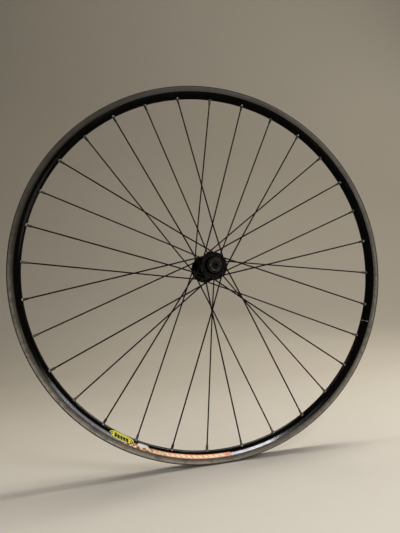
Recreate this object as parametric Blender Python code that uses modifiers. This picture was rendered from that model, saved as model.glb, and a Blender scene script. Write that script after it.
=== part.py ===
"""Bicycle front wheel without a tyre: rim, crossed spokes and a cup-and-cone hub on a hollow axle.

Units are metres. The axle lies along Y through the origin, +Z is up, and the near side is -Y.
Angles round the wheel are clockwise from the top, as seen from the near side.
Round sections are listed as (radius, y) points and turned about the axle.
"""

import math

import bmesh
import bpy
from mathutils import Matrix, Vector

MM = 0.001
OBJECT_NAME = "bicycle_front_wheel"

# Wheel layout
SPOKE_COUNT = 32
CROSSINGS = 3
FIRST_SPOKE_ANGLE = math.radians(-6.74)
SPOKE_PITCH = 2 * math.pi / SPOKE_COUNT
HUB_HOLE_PITCH = 2 * SPOKE_PITCH
HUB_HOLE_SWEEP = CROSSINGS * HUB_HOLE_PITCH
NEAR, FAR = -1, 1
SIDES = {"near": NEAR, "far": FAR}

# Rim, a hollow box section with a tyre bed on its outside
RIM_OUTER_RADIUS = 317 * MM
RIM_HALF_WIDTH = 10 * MM
RIM_CROWN_RADIUS = 298.5 * MM
RIM_WALL = 1.6 * MM
RIM_BED_RADIUS = 308.2 * MM
RIM_SEGMENTS = 2 * SPOKE_COUNT
SPOKE_DRILLING_OFFSET = 1 * MM
NIPPLE_HOLE_RADIUS = 2.5 * MM
ACCESS_HOLE_RADIUS = 3.9 * MM
VALVE_HOLE_RADIUS = 3.25 * MM
VALVE_POSITION = 26.5
SEAM_POSITION = 10.5
SLEEVE_LENGTH = 46 * MM

# Spokes and nipples
SPOKE_RADIUS = 1 * MM
SHANK_RADIUS = 1.15 * MM
SPOKE_HEAD_RADIUS = 2 * MM
SPOKE_HEAD_HEIGHT = 1 * MM
ELBOW_RADIUS = 1.5 * MM
NIPPLE_RADIUS = 2 * MM
NIPPLE_HEAD_RADIUS = 2.9 * MM
NIPPLE_SHOWING = 8.5 * MM
CROSSING_SPACING = 2.4 * MM
CROSSING_MIDDLE = 27.2 * MM
FLANGE_EDGE_RUN = 7.2 * MM

# Hub
FLANGE_RADIUS = 22.5 * MM
FLANGE_HOLE_CIRCLE_RADIUS = 19.4 * MM
FLANGE_HOLE_RADIUS = 1.45 * MM
FLANGE_CENTRE = 34 * MM
FLANGE_THICKNESS = 3 * MM
HUB_HALF_WIDTH = 43 * MM
HUB_BORE_RADIUS = 11.6 * MM
HUB_BORE_END = 34 * MM
HUB_SEGMENTS = SPOKE_COUNT
BEARING_SEGMENTS = 20

# Bearings and axle
AXLE_RADIUS = 4.5 * MM
AXLE_BORE_RADIUS = 2.5 * MM
AXLE_HALF_LENGTH = 54 * MM
DROPOUT_FACE = 50 * MM
THREADED_BORE_RADIUS = 4.85 * MM
BALL_RADIUS = 2.38 * MM
BALL_COUNT = 9
BALL_CIRCLE_RADIUS = 8 * MM
BALL_PLANE = 38 * MM
RACE_RADIUS = BALL_RADIUS + 0.3 * MM
CONE_RADIUS = 7.2 * MM
CONE_FACE = 45.4 * MM
LOCKNUT_INNER_FACE = 46.9 * MM
LOCKNUT_ACROSS_FLATS = 17 * MM

GAP = 0.3 * MM

COLOURS = {
    "anodised_rim": ((0.30, 0.29, 0.27), 0.40, 0.9),
    "raw_aluminium": ((0.60, 0.60, 0.60), 0.45, 0.9),
    "black_steel": ((0.02, 0.018, 0.015), 0.40, 0.7),
    "hub_black": ((0.015, 0.015, 0.015), 0.35, 0.5),
    "bright_steel": ((0.50, 0.50, 0.50), 0.25, 1.0),
    "dark_steel": ((0.09, 0.06, 0.05), 0.50, 0.8),
    "black_rubber": ((0.01, 0.01, 0.01), 0.80, 0.0),
}


def clear_scene():
    for obj in list(bpy.data.objects):
        bpy.data.objects.remove(obj, do_unlink=True)


def make_collection(name):
    collection = bpy.data.collections.new(name)
    bpy.context.scene.collection.children.link(collection)
    return collection


def make_material(name, look):
    colour, roughness, metallic = COLOURS[look]
    material = bpy.data.materials.new(name)
    material.use_nodes = True
    shader = material.node_tree.nodes["Principled BSDF"]
    shader.inputs["Base Color"].default_value = (*colour, 1)
    shader.inputs["Roughness"].default_value = roughness
    shader.inputs["Metallic"].default_value = metallic
    material.diffuse_color = (*colour, 1)
    return material


def on_wheel(radius, angle, y):
    """A point at a radius from the axle, an angle clockwise from the top, and a place along Y."""
    return Vector((radius * math.sin(angle), y, radius * math.cos(angle)))


def spoke_angle(position):
    return FIRST_SPOKE_ANGLE + position * SPOKE_PITCH


def area_under(loop):
    """Signed area of a closed (radius, y) loop, positive when it runs anticlockwise."""
    closed = loop[1:] + loop[:1]
    return sum(a[0] * b[1] - b[0] * a[1] for a, b in zip(loop, closed)) / 2


def outward_loop(loop):
    return loop if area_under(loop) < 0 else loop[::-1]


def inward_loop(loop):
    return outward_loop(loop)[::-1]


def both_sides(half):
    """A closed loop from its points with y above zero, listed between its crossings of y = 0."""
    return half + [(radius, -y) for radius, y in reversed(half)]


def turned_mesh(name, loops, start_angle):
    """Edges of closed (radius, y) loops, standing in the half plane at start_angle."""
    mesh = bpy.data.meshes.new(name)
    vertices = []
    edges = []
    for loop in loops:
        first = len(vertices)
        vertices += [on_wheel(radius, start_angle, y) for radius, y in loop]
        edges += [(first + i, first + (i + 1) % len(loop)) for i in range(len(loop))]
    mesh.from_pydata(vertices, edges, [])
    return mesh


def add_object(name, data, collection, look=None):
    obj = bpy.data.objects.new(name, data)
    collection.objects.link(obj)
    if look is None:
        obj.hide_render = True
        obj.display_type = "WIRE"
    else:
        data.materials.append(make_material(name, look))
    return obj


def add_turned(name, loops, segments, start_angle, collection, look=None):
    """A ring with the given section loops, made by a Screw modifier about the axle."""
    obj = add_object(name, turned_mesh(name, loops, start_angle), collection, look)
    screw = obj.modifiers.new("turn", "SCREW")
    screw.axis = "Y"
    screw.steps = segments
    screw.render_steps = segments
    screw.use_merge_vertices = True
    screw.merge_threshold = 0.00001
    return obj


def add_boolean(obj, cutter, operation="DIFFERENCE"):
    boolean = obj.modifiers.new(cutter.name, "BOOLEAN")
    boolean.operation = operation
    boolean.object = cutter


def prisms_mesh(name, axes, radius, sides):
    """One mesh made of a prism for each (start, end) pair in axes."""
    mesh = bpy.data.meshes.new(name)
    prisms = bmesh.new()
    for start, end in axes:
        along = end - start
        turn = along.to_track_quat("Z", "Y").to_matrix().to_4x4()
        bmesh.ops.create_cone(
            prisms, cap_ends=True, segments=sides, radius1=radius, radius2=radius,
            depth=along.length, matrix=Matrix.Translation((start + end) / 2) @ turn)
    prisms.to_mesh(mesh)
    prisms.free()
    return mesh


def add_drills(name, axes, radius, sides, collection):
    """One cutter made of a prism for each (start, end) pair in axes."""
    return add_object(name, prisms_mesh(name, axes, radius, sides), collection)


# ---------------------------------------------------------------- rim


def rim_outside():
    """Right half of the rim's outside, from the crown round the brake track to the tyre bed."""
    crown = RIM_CROWN_RADIUS
    outer = RIM_OUTER_RADIUS
    return [
        (crown, 3.4 * MM),
        (crown + 1.7 * MM, 6.4 * MM),
        (crown + 6 * MM, 9.1 * MM),
        (crown + 9.3 * MM, RIM_HALF_WIDTH),
        (outer - 0.6 * MM, RIM_HALF_WIDTH),
        (outer, RIM_HALF_WIDTH - 0.7 * MM),
        (outer, RIM_HALF_WIDTH - 1.9 * MM),
        (outer - 1.4 * MM, RIM_HALF_WIDTH - 2.6 * MM),
        (outer - 5.5 * MM, RIM_HALF_WIDTH - 2 * MM),
        (outer - 6.6 * MM, 6 * MM),
        (RIM_BED_RADIUS, 5.1 * MM),
    ]


def rim_hollow():
    """Right half of the hollow between the crown and the tyre bed."""
    crown = RIM_CROWN_RADIUS + RIM_WALL
    return [
        (crown, 3.4 * MM),
        (crown + 1.6 * MM, 5.6 * MM),
        (crown + 5.4 * MM, 7.7 * MM),
        (crown + 8.2 * MM, 7.9 * MM),
        (crown + 8.3 * MM, 6.6 * MM),
        (RIM_BED_RADIUS - RIM_WALL, 4.8 * MM),
    ]


def rim_drill(position, y, inner_radius, outer_radius):
    angle = spoke_angle(position)
    return on_wheel(inner_radius, angle, y), on_wheel(outer_radius, angle, y)


def spoke_side(index):
    return NEAR if index % 2 == 0 else FAR


def make_rim(parts, cutters):
    start = spoke_angle(0.25)
    loops = [outward_loop(both_sides(rim_outside())), inward_loop(both_sides(rim_hollow()))]
    rim = add_turned("rim", loops, RIM_SEGMENTS, start, parts, "anodised_rim")
    hollow_middle = (RIM_CROWN_RADIUS + RIM_BED_RADIUS) / 2
    beyond = 8 * MM
    nipple_axes = []
    access_axes = []
    for index in range(SPOKE_COUNT):
        y = spoke_side(index) * SPOKE_DRILLING_OFFSET
        nipple_axes.append(rim_drill(index, y, RIM_CROWN_RADIUS - beyond, hollow_middle))
        access_axes.append(rim_drill(index, y, hollow_middle, RIM_OUTER_RADIUS + beyond))
    valve_axis = rim_drill(VALVE_POSITION, 0, RIM_CROWN_RADIUS - beyond, RIM_OUTER_RADIUS + beyond)
    drills = [
        add_drills("nipple_holes", nipple_axes, NIPPLE_HOLE_RADIUS, 8, cutters),
        add_drills("access_holes", access_axes, ACCESS_HOLE_RADIUS, 8, cutters),
        add_drills("valve_hole", [valve_axis], VALVE_HOLE_RADIUS, 12, cutters),
    ]
    for drill in drills:
        add_boolean(rim, drill)


def sleeve_section():
    """Right half of the U-shaped sleeve, which follows the hollow's inner corner."""
    crown = RIM_CROWN_RADIUS + RIM_WALL + GAP
    wall = 1.2 * MM
    return [
        (crown + wall, 2.6 * MM),
        (crown + wall + 1.3 * MM, 4.2 * MM),
        (crown + 5 * MM, 5.9 * MM),
        (crown + 5 * MM, 7.1 * MM),
        (crown + 1.5 * MM, 5.1 * MM),
        (crown, 3 * MM),
    ]


def make_rim_joint_sleeve(parts, cutters):
    """A short length of the sleeve's ring, kept where the rim's ends meet."""
    loops = [outward_loop(both_sides(sleeve_section()))]
    start = spoke_angle(0.25)
    sleeve = add_turned("rim_joint_sleeve", loops, RIM_SEGMENTS, start, parts, "raw_aluminium")
    angle = spoke_angle(SEAM_POSITION)
    mesh = bpy.data.meshes.new("sleeve_length")
    box = bmesh.new()
    size = Matrix.Diagonal((SLEEVE_LENGTH, 2 * RIM_HALF_WIDTH, 30 * MM, 1))
    place = Matrix.Rotation(angle, 4, "Y") @ Matrix.Translation((0, 0, RIM_CROWN_RADIUS)) @ size
    bmesh.ops.create_cube(box, size=1, matrix=place)
    box.to_mesh(mesh)
    box.free()
    add_boolean(sleeve, add_object("sleeve_length", mesh, cutters), "INTERSECT")


# ---------------------------------------------------------------- spokes


def spoke_lean(index):
    """1 where the hub hole lies clockwise of the nipple, -1 where it lies anticlockwise."""
    return 1 if index % 4 in (0, 3) else -1


def crossing_radius():
    """Distance from the axle to the outermost crossing of two spokes of one flange."""
    hole = FLANGE_HOLE_CIRCLE_RADIUS
    rim = RIM_CROWN_RADIUS
    chord = math.sqrt(hole ** 2 + rim ** 2 - 2 * hole * rim * math.cos(HUB_HOLE_SWEEP))
    nearest = hole * rim * math.sin(HUB_HOLE_SWEEP) / chord
    return nearest / math.cos(math.acos(nearest / rim) - SPOKE_PITCH)


def spoke_path(index):
    """(point, radius) pairs from a spoke's head through its elbow and crossing to its nipple's head."""
    side = spoke_side(index)
    lean = spoke_lean(index)
    runs_outside = 1 if lean > 0 else -1
    rim_angle = spoke_angle(index)
    hub_angle = rim_angle + lean * HUB_HOLE_SWEEP
    hole = on_wheel(FLANGE_HOLE_CIRCLE_RADIUS, hub_angle, 0)
    face = FLANGE_THICKNESS / 2
    run = face + GAP + SPOKE_RADIUS
    head = face + GAP

    def at(point, y):
        return Vector((point.x, side * y, point.z))

    crossing = on_wheel(crossing_radius(), rim_angle + lean * SPOKE_PITCH, 0)
    along = (crossing - hole).normalized()
    crossing_y = CROSSING_MIDDLE - runs_outside * CROSSING_SPACING / 2
    nipple_seat = on_wheel(RIM_CROWN_RADIUS, rim_angle, side * SPOKE_DRILLING_OFFSET)

    def through(distance):
        """Place along Y of a point this far past the flange's middle, towards the elbow."""
        return FLANGE_CENTRE + runs_outside * distance

    path = [
        (at(hole, through(-head - SPOKE_HEAD_HEIGHT)), SPOKE_HEAD_RADIUS * 0.8),
        (at(hole, through(-head)), SPOKE_HEAD_RADIUS),
        (at(hole, through(-head + 0.2 * MM)), SHANK_RADIUS),
    ]
    for turn in (0, 45, 90):
        bend = math.radians(turn)
        forward = ELBOW_RADIUS * (1 - math.cos(bend))
        rise = run - ELBOW_RADIUS * (1 - math.sin(bend))
        path.append((at(hole + along * forward, through(rise)), SPOKE_RADIUS))
    if lean > 0:
        path.append((at(hole + along * FLANGE_EDGE_RUN, through(run)), SPOKE_RADIUS))
    path.append((at(crossing, crossing_y), SPOKE_RADIUS))
    direction = (nipple_seat - path[-1][0]).normalized()
    nipple = [
        (-NIPPLE_SHOWING, SPOKE_RADIUS),
        (-NIPPLE_SHOWING + 0.3 * MM, NIPPLE_RADIUS),
        (2.2 * MM, NIPPLE_RADIUS),
        (2.4 * MM, NIPPLE_HEAD_RADIUS),
        (4.6 * MM, NIPPLE_HEAD_RADIUS),
    ]
    return path + [(nipple_seat + direction * distance, radius) for distance, radius in nipple]


def make_spoke(index, parts):
    name = f"spoke_{index + 1:02d}"
    curve = bpy.data.curves.new(name, "CURVE")
    curve.dimensions = "3D"
    curve.bevel_depth = 1
    curve.bevel_resolution = 1
    curve.use_fill_caps = True
    spline = curve.splines.new("POLY")
    path = spoke_path(index)
    spline.points.add(len(path) - 1)
    for point, (place, radius) in zip(spline.points, path):
        point.co = (*place, 1)
        point.radius = radius
    add_object(name, curve, parts, "black_steel")


# ---------------------------------------------------------------- hub


def hub_shell_outside():
    """Half of the shell with y above zero, from the waist over the flange to the bore."""
    inner_face = FLANGE_CENTRE - FLANGE_THICKNESS / 2
    outer_face = FLANGE_CENTRE + FLANGE_THICKNESS / 2
    chamfer = 0.8 * MM
    return [
        (11.4 * MM, 12 * MM),
        (12.8 * MM, 24 * MM),
        (13.6 * MM, inner_face - 2 * MM),
        (15.6 * MM, inner_face),
        (FLANGE_RADIUS - 2 * chamfer, inner_face),
        (FLANGE_RADIUS, inner_face + chamfer),
        (FLANGE_RADIUS, outer_face - chamfer),
        (FLANGE_RADIUS - 2 * chamfer, outer_face),
        (14.6 * MM, outer_face),
        (12.9 * MM, outer_face + 1.4 * MM),
        (12.9 * MM, HUB_HALF_WIDTH - 0.4 * MM),
        (12.5 * MM, HUB_HALF_WIDTH),
        (HUB_BORE_RADIUS, HUB_HALF_WIDTH),
        (HUB_BORE_RADIUS, HUB_BORE_END),
        (7.2 * MM, HUB_BORE_END),
    ]


def make_hub_shell(parts, cutters):
    loops = [outward_loop(both_sides(hub_shell_outside()))]
    shell = add_turned("hub_shell", loops, HUB_SEGMENTS, spoke_angle(0.5), parts, "hub_black")
    axes = []
    for index in range(SPOKE_COUNT):
        side = spoke_side(index)
        near_face = side * (FLANGE_CENTRE - FLANGE_THICKNESS)
        far_face = side * (FLANGE_CENTRE + FLANGE_THICKNESS)
        angle = spoke_angle(index)
        axes.append((
            on_wheel(FLANGE_HOLE_CIRCLE_RADIUS, angle, near_face),
            on_wheel(FLANGE_HOLE_CIRCLE_RADIUS, angle, far_face)))
    add_boolean(shell, add_drills("flange_holes", axes, FLANGE_HOLE_RADIUS, 8, cutters))


def race_points(degrees):
    """Points on the race's arc round the ball's centre, at angles from straight out from the axle."""
    return [
        (
            BALL_CIRCLE_RADIUS + RACE_RADIUS * math.cos(math.radians(angle)),
            BALL_PLANE + RACE_RADIUS * math.sin(math.radians(angle)),
        )
        for angle in degrees
    ]


def bearing_cup_section():
    outside = HUB_BORE_RADIUS - GAP
    back = HUB_BORE_END + GAP
    return [
        (6.6 * MM, back),
        (outside, back),
        (outside, 39.7 * MM),
        (10.6 * MM, 39.7 * MM),
        *race_points((20, 0, -20, -45, -70)),
        (6.6 * MM, 35.3 * MM),
    ]


def cone_section():
    return [
        (THREADED_BORE_RADIUS, 36 * MM),
        (5.4 * MM, 36 * MM),
        *race_points((200, 180, 160, 135, 115)),
        (CONE_RADIUS, 40.7 * MM),
        (CONE_RADIUS, CONE_FACE),
        (THREADED_BORE_RADIUS, CONE_FACE),
    ]


def cone_seal_section():
    inside = CONE_RADIUS + GAP
    return [
        (inside, 41.2 * MM),
        (9 * MM, 41.2 * MM),
        (9 * MM, 45.1 * MM),
        (10.3 * MM, 45.1 * MM),
        (9.6 * MM, 46.1 * MM),
        (inside, 46.1 * MM),
    ]


def dust_cap_section():
    skirt = HUB_BORE_RADIUS - GAP
    lip = 12.3 * MM
    seat = HUB_HALF_WIDTH + GAP
    return [
        (9.4 * MM, seat + 0.3 * MM),
        (skirt - 0.8 * MM, seat + 0.3 * MM),
        (skirt - 0.8 * MM, 40.1 * MM),
        (skirt, 40.1 * MM),
        (skirt, seat),
        (lip, seat),
        (lip, seat + 0.9 * MM),
        (lip - 0.6 * MM, seat + 1.5 * MM),
        (9.4 * MM, seat + 1.5 * MM),
    ]


def lock_washer_section():
    outside = CONE_RADIUS - 0.1 * MM
    inner_face = CONE_FACE + GAP
    outer_face = LOCKNUT_INNER_FACE - GAP
    return [
        (THREADED_BORE_RADIUS, inner_face),
        (outside, inner_face),
        (outside, outer_face),
        (THREADED_BORE_RADIUS, outer_face),
    ]


def axle_section():
    chamfer = 0.5 * MM
    return [
        (AXLE_RADIUS, AXLE_HALF_LENGTH - chamfer),
        (AXLE_RADIUS - chamfer, AXLE_HALF_LENGTH),
        (AXLE_BORE_RADIUS, AXLE_HALF_LENGTH),
    ]


def place_on_side(obj, side):
    """Turn a piece that was made on the far side round to the near side."""
    if side == NEAR:
        obj.rotation_euler.z = math.pi


def make_bearing_rings(parts):
    """The turned pieces that each end of the hub has once."""
    rings = (
        ("bearing_cup", bearing_cup_section(), "bright_steel"),
        ("cone", cone_section(), "dark_steel"),
        ("cone_seal", cone_seal_section(), "black_rubber"),
        ("dust_cap", dust_cap_section(), "hub_black"),
        ("lock_washer", lock_washer_section(), "dark_steel"),
    )
    for piece, section, look in rings:
        for side_name, side in SIDES.items():
            name = f"{piece}_{side_name}"
            ring = add_turned(name, [outward_loop(section)], BEARING_SEGMENTS, 0, parts, look)
            place_on_side(ring, side)


def make_ball_cage(side_name, side, parts, cutters):
    """Bearing balls held evenly round the axle by a wire ring."""
    wire = 0.6 * MM
    middle = BALL_CIRCLE_RADIUS
    section = [
        (middle + wire, BALL_PLANE + wire),
        (middle + wire, BALL_PLANE - wire),
        (middle - wire, BALL_PLANE - wire),
        (middle - wire, BALL_PLANE + wire),
    ]
    cage = add_turned(
        f"ball_cage_{side_name}", [outward_loop(section)], 3 * BALL_COUNT, 0, parts, "bright_steel")
    mesh = bpy.data.meshes.new(f"balls_{side_name}")
    balls = bmesh.new()
    for index in range(BALL_COUNT):
        place = on_wheel(BALL_CIRCLE_RADIUS, (index + 0.5) * 2 * math.pi / BALL_COUNT, BALL_PLANE)
        bmesh.ops.create_uvsphere(
            balls, u_segments=8, v_segments=5, radius=BALL_RADIUS, matrix=Matrix.Translation(place))
    balls.to_mesh(mesh)
    balls.free()
    ball_set = add_object(f"balls_{side_name}", mesh, cutters)
    place_on_side(ball_set, side)
    place_on_side(cage, side)
    add_boolean(cage, ball_set, "UNION")


def make_locknut(side_name, side, parts, cutters):
    """A six-sided nut whose outer face takes the fork end."""
    nut_axis = (Vector((0, LOCKNUT_INNER_FACE, 0)), Vector((0, DROPOUT_FACE, 0)))
    corner_radius = LOCKNUT_ACROSS_FLATS / 2 / math.cos(math.pi / 6)
    name = f"locknut_{side_name}"
    nut = add_object(name, prisms_mesh(name, [nut_axis], corner_radius, 6), parts, "dark_steel")
    bore_axis = (Vector((0, 0.9 * LOCKNUT_INNER_FACE, 0)), Vector((0, 1.1 * DROPOUT_FACE, 0)))
    bore = add_drills(
        f"locknut_bore_{side_name}", [bore_axis], THREADED_BORE_RADIUS, BEARING_SEGMENTS, cutters)
    place_on_side(nut, side)
    place_on_side(bore, side)
    add_boolean(nut, bore)


def make_axle(parts):
    add_turned(
        "axle", [outward_loop(both_sides(axle_section()))], BEARING_SEGMENTS, 0, parts, "dark_steel")


def main():
    clear_scene()
    parts = make_collection(OBJECT_NAME)
    cutters = make_collection("cutters")
    make_rim(parts, cutters)
    make_rim_joint_sleeve(parts, cutters)
    for index in range(SPOKE_COUNT):
        make_spoke(index, parts)
    make_hub_shell(parts, cutters)
    make_bearing_rings(parts)
    for side_name, side in SIDES.items():
        make_ball_cage(side_name, side, parts, cutters)
        make_locknut(side_name, side, parts, cutters)
    make_axle(parts)


main()
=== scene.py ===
"""Looks of a bare bicycle front wheel.

A black box rim with a machined brake track, crossed black spokes in plated nipples and eyelets, a small
black hub turning on a threaded hollow axle, and generic decals on the side walls.

Units are metres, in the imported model's frame. The axle lies along Y through the origin, +Z is up, and the
near side is -Y. Angles round the wheel are clockwise from the top, as seen from the near side.
"""

from math import acos, atan2, cos, hypot, pi, radians, sin, sqrt, tan

import bmesh
import bpy
from mathutils import Matrix, Vector


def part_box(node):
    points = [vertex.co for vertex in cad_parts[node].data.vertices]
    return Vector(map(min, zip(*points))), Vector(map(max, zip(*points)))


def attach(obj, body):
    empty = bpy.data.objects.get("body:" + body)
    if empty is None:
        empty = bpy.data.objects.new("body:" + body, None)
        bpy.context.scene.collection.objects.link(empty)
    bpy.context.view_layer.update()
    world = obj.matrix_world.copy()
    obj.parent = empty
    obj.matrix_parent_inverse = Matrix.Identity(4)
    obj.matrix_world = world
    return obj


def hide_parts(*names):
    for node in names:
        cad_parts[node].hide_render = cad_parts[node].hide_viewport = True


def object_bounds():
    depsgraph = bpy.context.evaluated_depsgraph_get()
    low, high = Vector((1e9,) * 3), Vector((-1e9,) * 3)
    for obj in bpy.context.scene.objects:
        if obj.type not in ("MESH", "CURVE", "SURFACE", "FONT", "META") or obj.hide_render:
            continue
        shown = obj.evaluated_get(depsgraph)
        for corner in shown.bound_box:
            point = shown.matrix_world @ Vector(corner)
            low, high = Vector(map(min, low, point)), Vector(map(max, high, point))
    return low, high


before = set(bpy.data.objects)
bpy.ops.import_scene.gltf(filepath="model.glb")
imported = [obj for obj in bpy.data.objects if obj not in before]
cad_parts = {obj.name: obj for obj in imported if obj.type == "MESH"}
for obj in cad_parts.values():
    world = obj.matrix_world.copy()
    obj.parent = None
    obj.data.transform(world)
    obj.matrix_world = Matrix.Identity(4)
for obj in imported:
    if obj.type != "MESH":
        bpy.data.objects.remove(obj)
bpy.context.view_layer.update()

MM = 0.001
TURN = 2 * pi

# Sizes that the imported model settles
RIM_OUTER_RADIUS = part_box("rim")[1].z
RIM_HALF_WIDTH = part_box("rim")[1].y
AXLE_HALF_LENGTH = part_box("axle")[1].y
DROPOUT_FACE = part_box("locknut_far")[1].y
HUB_HALF_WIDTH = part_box("hub_shell")[1].y

# Wheel layout
SPOKE_COUNT = 32
CROSSINGS = 3
FIRST_SPOKE_ANGLE = radians(-6.74)
SPOKE_PITCH = TURN / SPOKE_COUNT
HUB_HOLE_SWEEP = 2 * CROSSINGS * SPOKE_PITCH
NEAR, FAR = -1, 1
SIDES = {"near": NEAR, "far": FAR}
FACE_ROUND = Matrix.Rotation(pi, 4, "Z")

# Rim
RIM_CROWN_RADIUS = RIM_OUTER_RADIUS - 18.9 * MM
RIM_BED_RADIUS = RIM_OUTER_RADIUS - 8.8 * MM
TRACK_INSIDE = RIM_OUTER_RADIUS - 9.4 * MM
TRACK_OUTSIDE = RIM_OUTER_RADIUS - 1.6 * MM
RIM_WALL = 1.6 * MM
RIM_STATIONS = 12 * SPOKE_COUNT
SPOKE_DRILLING_OFFSET = 1 * MM
NIPPLE_HOLE_RADIUS = 2.5 * MM
ACCESS_HOLE_RADIUS = 3.9 * MM
VALVE_HOLE_RADIUS = 3.25 * MM
VALVE_POSITION = 26.5
SEAM_POSITION = 10.5
SEAM_HALF_WIDTH = 0.3 * MM
SEAM_DEPTH = 0.12 * MM
SLEEVE_LENGTH = 46 * MM
SLEEVE_STEPS = 16
NIPPLE_HOLE_SIDES = 32
VALVE_HOLE_SIDES = 40
DRILL_REACH = 15 * MM
TRACK_MOST_DEPTH = 0.6 * MM
PAINT_EDGE_RADIUS = RIM_CROWN_RADIUS + 8.6 * MM

# Spokes, nipples and eyelets
SPOKE_RADIUS = 1.17 * MM
SPOKE_SIDES = 16
SPOKE_HEAD_RADIUS = 2 * MM
SPOKE_HEAD_HEIGHT = 1 * MM
SHANK_RADIUS = 1.2 * MM
HEAD_PROFILE = ((1, 0.35), (0.93, 0.6), (0.75, 0.83), (0.45, 0.96), (0.2, 1), (0, 0.95))
FLANGE_CLEARANCE = 0.1 * MM
ELBOW_RADIUS = 1.7 * MM
CROSSING_BEND = 40 * MM
CROSSING_SPACING = 2.4 * MM
CROSSING_MIDDLE = 27.2 * MM
FLANGE_EDGE_RUN = 7.2 * MM
FLANGE_EDGE_BEND = 12 * MM
NIPPLE_SHOWING = 8.5 * MM
NIPPLE_SIDES = 32
NIPPLE_RADIUS = 2 * MM
NIPPLE_FLATS = 3.24 * MM
NIPPLE_HEAD_RADIUS = 2.9 * MM
NIPPLE_HEAD_TOP = 4.6 * MM
NIPPLE_TURN_STEP = radians(137.5)
EYELET_SIDES = 40
SLOT_DEPTH = 1.1 * MM
SLOT_HALF_WIDTH = 0.45 * MM

# Hub
FLANGE_CENTRE = 34 * MM
FLANGE_THICKNESS = 3 * MM
FLANGE_RADIUS = 23.1 * MM
FLANGE_HOLE_CIRCLE_RADIUS = 19.4 * MM
FLANGE_HOLE_RADIUS = 1.45 * MM
FLANGE_HOLE_SIDES = 24
FLANGE_HOLE_SINK = 0.45 * MM
HUB_BORE_RADIUS = 11.6 * MM
HUB_STATIONS = 4 * SPOKE_COUNT
SMALL_STATIONS = 96

# Bearings and axle
AXLE_RADIUS = 4.5 * MM
AXLE_BORE_RADIUS = 2.5 * MM
THREAD_PITCH = 1 * MM
THREAD_DEPTH = 0.55 * MM
THREAD_START = 41 * MM
THREAD_STEPS = 8
KEYWAY_RADIUS = 3.95 * MM
KEYWAY_HALF_WIDTH = 1 * MM
NUT_BORE_RADIUS = 4.58 * MM
CONE_RADIUS = 7.2 * MM
CONE_ACROSS_FLATS = 13 * MM
CONE_FLATS_START = 43.2 * MM
LOCKNUT_ACROSS_FLATS = 17 * MM
LOCKNUT_INNER_FACE = 46.9 * MM
SERRATIONS = 36
NUT_STATIONS = 4 * SERRATIONS
SERRATION_DEPTH = 0.2 * MM
SERRATED_FROM = 5.6 * MM
SERRATED_TO = 8 * MM
BALL_RADIUS = 2.38 * MM
BALL_COUNT = 9
BALL_CIRCLE_RADIUS = 8 * MM
BALL_PLANE = 38 * MM
BALL_LEVELS = 14
CAGE_WIRE_RADIUS = 0.55 * MM
RACE_RADIUS = BALL_RADIUS + 0.12 * MM

# Decals on the side walls, with places along the rim counted in spokes
DECAL_THICKNESS = 0.07 * MM
TAG_THICKNESS = 0.1 * MM
BADGE_THICKNESS = 0.14 * MM
BADGE_CENTRE = 19.41
BADGE_HALF_LENGTH = 20.8 * MM
BADGE_BLOCK_PITCH = 5
STRIPE_START = 16.35
STRIPE_END = 19.3
TAG_START = 18.64
TAG_END = 18.95
DECAL_RADIUS = 303 * MM
BADGE_MIDDLE = 302.1 * MM
STRIPE_MIDDLE = 304.2 * MM
WALL_START = 1.5 * MM
DECAL_TO_TRACK = 0.3 * MM
FILM_SINK = 0.02 * MM
FILM_STEPS = 96
FILM_COLUMNS = 10

ARC_STEP = radians(14)
ARC_MOST_SHARE = 0.46
SHARP_ANGLE = radians(32)
MERGE_DISTANCE = 0.001 * MM


# -------- geometry helpers


def on_wheel(radius, angle, y):
    """A point at a radius from the axle, an angle clockwise from the top, and a place along Y."""
    return Vector((radius * sin(angle), y, radius * cos(angle)))


def spoke_angle(position):
    return FIRST_SPOKE_ANGLE + position * SPOKE_PITCH


def angles(count):
    """Evenly spaced angles round a full turn."""
    return [TURN * i / count for i in range(count)]


def upright(radius, angle, height):
    """A point at a radius and an angle about Z, at a height."""
    return Vector((radius * cos(angle), radius * sin(angle), height))


def stood(section, angle):
    """A section of (radius, y) points, stood at an angle round the wheel."""
    return [on_wheel(point.x, angle, point.y) for point in section]


def aimed(place, direction):
    """A transform that moves the origin to a place and turns Z along a direction."""
    return Matrix.Translation(place) @ direction.to_track_quat("Z", "Y").to_matrix().to_4x4()


def add_object(name, data):
    """A new object in the scene."""
    thing = bpy.data.objects.new(name, data)
    bpy.context.scene.collection.objects.link(thing)
    return thing


def polygon_radius(half_across_flats, sides, angle):
    """Distance from the middle of a regular polygon to its edge, in a direction."""
    wedge = TURN / sides
    return half_across_flats / cos((angle + wedge / 2) % wedge - wedge / 2)


def in_mm(*corners):
    """Corners given as (radius, y, corner radius) in millimetres."""
    return [(Vector((radius, y)) * MM, bend * MM) for radius, y, bend in corners]


def rounded(corners, closed=False):
    """Points along (point, corner radius) corners, with each corner turned into an arc."""
    points = []
    for i, (corner, radius) in enumerate(corners):
        at_end = not closed and i in (0, len(corners) - 1)
        if radius == 0 or at_end:
            points.append(corner)
            continue
        back = corners[i - 1][0] - corner
        ahead = corners[(i + 1) % len(corners)][0] - corner
        turn = pi - back.angle(ahead)
        reach = min(radius * tan(turn / 2), ARC_MOST_SHARE * back.length, ARC_MOST_SHARE * ahead.length)
        start = corner + back.normalized() * reach
        end = corner + ahead.normalized() * reach
        steps = max(1, round(turn / ARC_STEP))
        for step in range(steps + 1):
            along = step / steps
            points.append(start.lerp(corner, along).lerp(corner.lerp(end, along), along))
    return points


def both_sides(half):
    """A closed loop from its points with y above zero."""
    return half + [Vector((point.x, -point.y)) for point in reversed(half)]


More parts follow.
